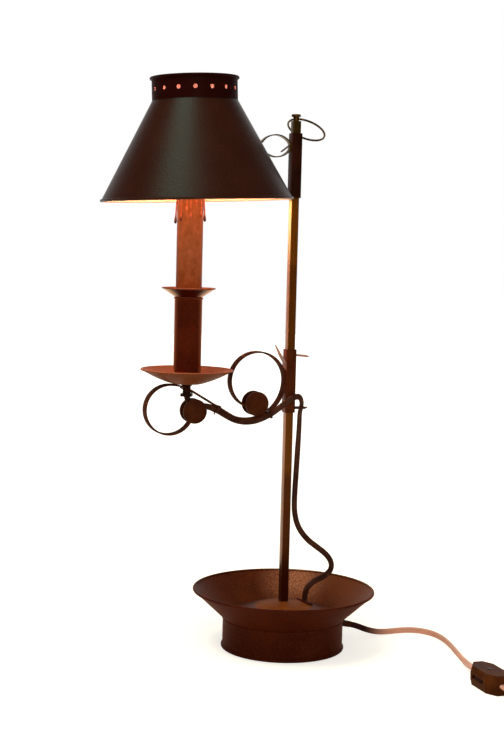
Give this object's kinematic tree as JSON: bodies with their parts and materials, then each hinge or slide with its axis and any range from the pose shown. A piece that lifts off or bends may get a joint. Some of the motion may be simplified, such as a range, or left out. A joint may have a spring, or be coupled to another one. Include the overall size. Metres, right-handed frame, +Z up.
{
  "type": "bouillotte lamp",
  "caption": "Table lamp with a footed pan base, a square post, a sliding scroll arm with an electric candle, a sliding perforated tin shade and a carry ring.",
  "frame": {"origin": "centre of the foot's underside, on the post's axis", "axes": "+Z up along the post, -X along the arm to the candle, +Y to the back"},
  "size_m": [0.5116, 0.4795, 0.688],
  "materials": {
    "painted_tin": "dark brown enamel with a fine hammered texture, satin",
    "shade_tin": "dark brown to olive enamel, hammered texture, satin",
    "olive_tin": "olive-brown enamel, worn",
    "antique_brass": "aged brass, brown lacquer",
    "candle_wax": "amber resin with wax drips",
    "felt": "dark felt",
    "cast_weight": "raw casting",
    "steel": "plated",
    "cord_jacket": "brown flexible jacket, flat twin lead",
    "cord_tie": "dark brown strap",
    "brown_plastic": "moulded brown plastic",
    "socket_plastic": "black moulding",
    "contact_brass": "bright",
    "lamp_glass": "clear, lit from inside"
  },
  "bodies": {
    "stand": {"base_bowl": "painted_tin", "foot_drum": "painted_tin", "felt_pad": "felt", "post": "antique_brass", "post_flange": "olive_tin", "clamp_spacer": "steel", "base_weight": "cast_weight", "clamp_washer": "steel", "clamp_nut": "steel", "cord_plate": "painted_tin", "side_bushing": "brown_plastic", "inner_cord": "cord_jacket", "mains_cord": "cord_jacket", "cord_coil": "cord_jacket", "switch_lower_shell": "brown_plastic", "switch_upper_shell": "brown_plastic", "switch_screw": "steel", "switch_contacts": "contact_brass", "plug_body": "brown_plastic", "plug_blades": "contact_brass", "finial": "antique_brass"},
    "arm": {"arm_sleeve": "antique_brass", "arm_spring_leaf": "antique_brass", "arm_thumb_tab": "antique_brass", "scroll_strip": "antique_brass", "scroll_discs": "antique_brass", "seat_washer": "steel", "pipe_nuts": "steel", "support_pipe": "steel", "drip_dish": "painted_tin", "candle_cup": "painted_tin", "candle_cover": "candle_wax", "socket_body": "socket_plastic", "socket_shell": "contact_brass", "socket_contact": "contact_brass", "bulb_cap": "contact_brass", "bulb_glass": "lamp_glass", "cord_ties": "cord_tie", "arm_cord": "cord_jacket", "hanging_cord": "cord_jacket"},
    "shade": {"shade_sleeve": "antique_brass", "shade_curl": "antique_brass", "shade_lug": "antique_brass", "shade_thumb_tab": "antique_brass", "shade_cone": "shade_tin", "shade_collar": "shade_tin"},
    "carry_ring": {"carry_ring": "antique_brass"},
    "switch_wheel": {"switch_wheel": "brown_plastic"}
  },
  "joints": [
    {"name": "arm_slide", "type": "slide", "parent": "stand", "child": "arm", "axis": [0, 0, 1], "range_m": [-0.14, 0.035], "deforming": ["hanging_cord"]},
    {"name": "shade_slide", "type": "slide", "parent": "stand", "child": "shade", "axis": [0, 0, 1], "range_m": [-0.07, 0.01]},
    {"name": "ring_swing", "type": "hinge", "parent": "stand", "child": "carry_ring", "pos_m": [0, 0, 0.6439], "axis": [0.5, -0.866, 0], "range_deg": [0, 210]},
    {"name": "switch_turn", "type": "hinge", "parent": "stand", "child": "switch_wheel", "pos_m": [0.1643, -0.2244, 0.0113], "axis": [0, 0, 1], "continuous": true}
  ]
}
